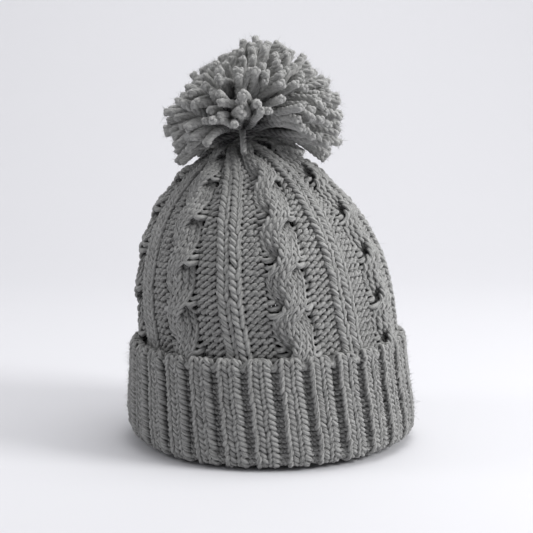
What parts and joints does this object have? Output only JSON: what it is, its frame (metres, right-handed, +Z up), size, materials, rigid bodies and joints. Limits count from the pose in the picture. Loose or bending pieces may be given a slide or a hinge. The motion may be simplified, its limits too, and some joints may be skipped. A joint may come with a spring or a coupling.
{
  "type": "pom pom beanie",
  "caption": "Cable-knit beanie with a gathered crown, a turned-up ribbed cuff and a yarn pom pom tied on top.",
  "frame": {"origin": "on the floor under the middle of the cuff, on the plane of the fold that the hat stands on", "axes": "+Z up through the hat to the pom pom, -Y to the front, +X to the right seen from the front"},
  "size_m": [0.199, 0.2, 0.2715],
  "materials": {
    "knit": "chunky plied grey acrylic and wool yarn, knitted, matt and slightly fuzzy",
    "sewing_yarn": "the same grey yarn used for sewing up, matt",
    "pompom_yarn": "cut lengths of the same grey yarn, matt with fuzzy ends",
    "label_satin": "blank off-white woven satin ribbon, soft sheen",
    "label_thread": "off-white polyester sewing thread"
  },
  "bodies": {
    "crown_body": {"crown": "knit", "back_seam": "sewing_yarn", "gather_yarn": "sewing_yarn", "gather_knot": "sewing_yarn", "care_label": "label_satin", "label_stitches": "label_thread"},
    "cuff_body": {"cuff": "knit", "cuff_seam": "sewing_yarn"},
    "tie_body": {"tie_tails": "pompom_yarn", "inside_knot": "pompom_yarn", "lower_strands": "pompom_yarn"},
    "pompom_body": {"pompom_strands": "pompom_yarn", "pompom_binding": "pompom_yarn", "binding_knot": "pompom_yarn"}
  },
  "joints": [
    {"name": "cuff_roll_down", "type": "slide", "parent": "crown_body", "child": "cuff_body", "axis": [0, 0, -1], "range_m": [0, 0.072]},
    {"name": "pompom_twist", "type": "hinge", "parent": "crown_body", "child": "tie_body", "pos_m": [-0.013, 0, 0.203], "axis": [0, 0, 1], "range_deg": [-90, 90]},
    {"name": "pompom_tilt", "type": "hinge", "parent": "tie_body", "child": "pompom_body", "pos_m": [-0.013, 0, 0.21], "axis": [0, 1, 0], "range_deg": [-20, 20], "stiffness_Nm_per_rad": 0.08, "deforming": ["lower_strands"]}
  ]
}
